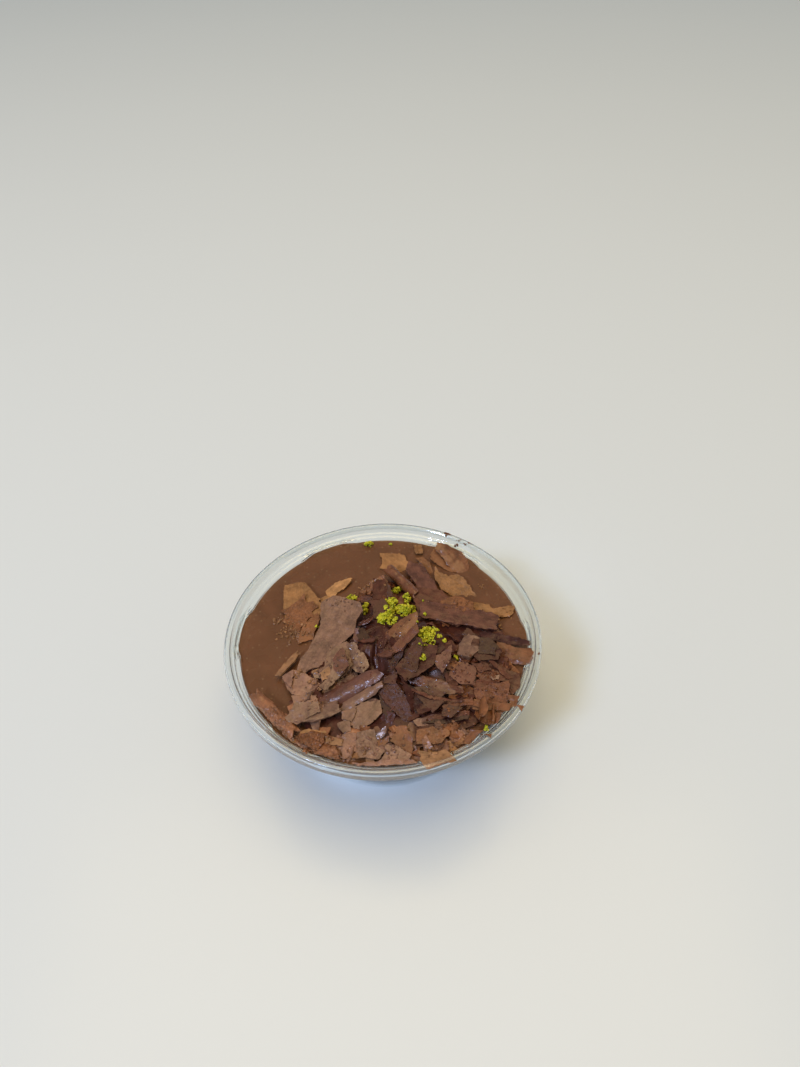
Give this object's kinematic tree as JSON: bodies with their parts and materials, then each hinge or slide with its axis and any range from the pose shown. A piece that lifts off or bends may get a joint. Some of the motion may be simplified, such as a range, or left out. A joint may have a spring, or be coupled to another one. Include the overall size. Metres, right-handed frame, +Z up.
{
  "type": "cup of profiteroles",
  "caption": "Clear plastic dessert cup with a rolled rim, filled with chocolate cream and heaped with flat and curled chocolate shavings under a little chopped green nut.",
  "frame": {"origin": "on the cup's axis, on the surface that the foot ring stands on", "axes": "+Z up along the cup's axis, +Y towards the bare cream at the back, +X to the right of the viewer who faces +Y"},
  "size_m": [0.117, 0.117, 0.0547],
  "materials": {
    "clear_plastic": "clear moulded PET, glossy",
    "chocolate_cream": "smooth set chocolate cream, wet and satin",
    "dark_chocolate": "broken dark chocolate, satin with a fine grain",
    "pale_chocolate": "scraped milk chocolate, dull with a chalky grain",
    "green_nut": "chopped green pistachio, dull"
  },
  "bodies": {
    "root": {"cup": "clear_plastic", "chocolate_cream": "chocolate_cream", "shavings_heap": "dark_chocolate", "flat_shaving_left": "pale_chocolate", "flat_shaving_back_left": "pale_chocolate", "flat_shaving_back": "pale_chocolate", "small_chip_back": "pale_chocolate", "stick_shaving_left": "dark_chocolate", "long_roll_left_wall": "dark_chocolate", "flat_shaving_right": "dark_chocolate", "dark_strip_right": "dark_chocolate", "wide_shaving_right_back": "dark_chocolate", "dark_slab_back": "dark_chocolate", "half_tube_back_right": "dark_chocolate", "half_tube_right_rim": "dark_chocolate", "folded_slab_front_left": "dark_chocolate", "flat_slab_front": "dark_chocolate", "open_curl_front_right": "dark_chocolate", "stacked_sheet_right": "dark_chocolate", "long_strip_front_right": "dark_chocolate", "chunk_shaving_right": "dark_chocolate", "wide_slab_right": "dark_chocolate", "wide_slab_left": "dark_chocolate", "shiny_curl_front": "dark_chocolate", "slab_centre": "dark_chocolate", "small_roll_back": "dark_chocolate"}
  },
  "joints": []
}
